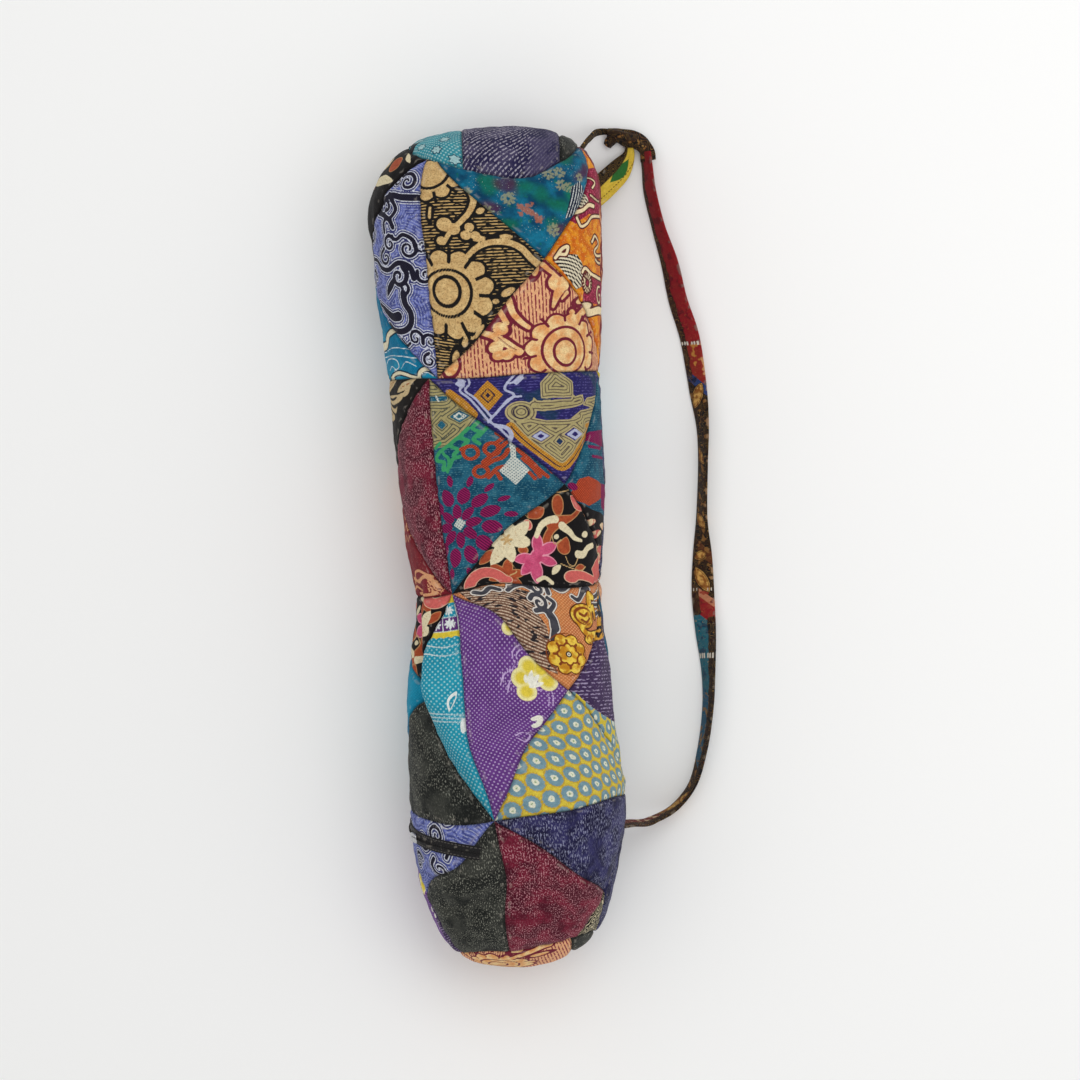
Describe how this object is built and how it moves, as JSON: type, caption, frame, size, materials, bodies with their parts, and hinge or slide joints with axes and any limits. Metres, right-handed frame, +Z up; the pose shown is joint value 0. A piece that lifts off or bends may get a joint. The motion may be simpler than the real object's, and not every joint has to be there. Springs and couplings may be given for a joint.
{
  "type": "yoga mat bag",
  "caption": "Long stuffed patchwork cloth bag for a rolled yoga mat, with domed ends, a pocket zip and a knotted shoulder strap.",
  "frame": {"origin": "middle of the whole outline, on the floor that the bag lies on", "axes": "+Y along the bag towards the end with the knotted strap, +Z up from the floor, +X towards the side that the strap lies on"},
  "size_m": [0.269, 0.6812, 0.1413],
  "materials": {
    "teal_blossom": "petrol teal printed cotton, blurred flowers",
    "orange_wave": "orange printed cotton with cream swirls",
    "peach_flower": "peach printed cotton with maroon flowers",
    "black_gold_flower": "black printed cotton with gold flowers",
    "maroon_spark": "maroon cloth with fine pale flecks",
    "purple_dot": "purple printed cotton with white dots",
    "navy_spark": "navy cloth with pale flecks",
    "red_key": "red printed cotton with angular lines",
    "black_garden": "black printed cotton with flowers and leaves",
    "periwinkle_scroll": "violet-blue printed cotton with black scrolls",
    "blue_cloud": "cerulean printed cotton with cream waves",
    "charcoal_spark": "dark grey-green cloth with fine flecks",
    "navy_weave": "navy songket-like weave with ochre and khaki figures",
    "teal_weave": "dark teal songket-like weave",
    "turquoise_dot": "turquoise printed cotton with white dots",
    "copper_scroll": "orange-tan printed cotton with scrolls",
    "cream_scribble": "black printed cotton with cream scribbles",
    "plum_dash": "dark plum cloth with pale hatching",
    "yellow_ring": "yellow printed cotton with grey-blue discs",
    "zip_black": "black woven zip tape with a nylon coil",
    "red_batik": "dark red, black and gold printed cotton"
  },
  "bodies": {
    "root": {"patch_1_front_top": "teal_blossom", "patch_1_front_right": "orange_wave", "patch_1_front_bottom": "peach_flower", "patch_1_front_left": "black_gold_flower", "patch_1_under_top": "maroon_spark", "patch_1_under_right": "purple_dot", "patch_1_under_bottom": "navy_spark", "patch_1_under_left": "red_key", "patch_1_left_top": "black_garden", "patch_1_left_right": "periwinkle_scroll", "patch_1_left_bottom": "blue_cloud", "patch_1_left_left": "charcoal_spark", "patch_2_front_top": "navy_weave", "patch_2_front_right": "teal_weave", "patch_2_front_bottom": "black_garden", "patch_2_front_left": "teal_weave", "patch_2_under_top": "turquoise_dot", "patch_2_under_right": "black_gold_flower", "patch_2_under_bottom": "copper_scroll", "patch_2_under_left": "navy_spark", "patch_2_left_top": "cream_scribble", "patch_2_left_right": "maroon_spark", "patch_2_left_bottom": "red_key", "patch_2_left_left": "orange_wave", "patch_3_front_top": "copper_scroll", "patch_3_front_right": "plum_dash", "patch_3_front_bottom": "yellow_ring", "patch_3_front_left": "purple_dot", "patch_3_under_top": "peach_flower", "patch_3_under_right": "charcoal_spark", "patch_3_under_bottom": "periwinkle_scroll", "patch_3_under_left": "teal_blossom", "patch_3_left_top": "black_garden", "patch_3_left_right": "turquoise_dot", "patch_3_left_bottom": "charcoal_spark", "patch_3_left_left": "blue_cloud", "patch_4_front_top": "navy_spark", "patch_4_front_right": "navy_spark", "patch_4_front_bottom": "cream_scribble", "patch_4_front_left": "maroon_spark", "patch_4_under_top": "yellow_ring", "patch_4_under_right": "red_key", "patch_4_under_bottom": "black_garden", "patch_4_under_left": "navy_spark", "patch_4_left_top": "periwinkle_scroll", "patch_4_left_right": "charcoal_spark", "patch_4_left_bottom": "plum_dash", "patch_4_left_left": "purple_dot", "top_panel_1": "turquoise_dot", "top_panel_2": "plum_dash", "top_panel_3": "charcoal_spark", "bottom_panel_1": "peach_flower", "bottom_panel_2": "charcoal_spark", "pocket_zip": "zip_black", "pocket_zip_slider": "zip_black", "closing_zip": "zip_black", "strap_loop": "black_garden", "shoulder_strap": "red_batik"}
  },
  "joints": []
}
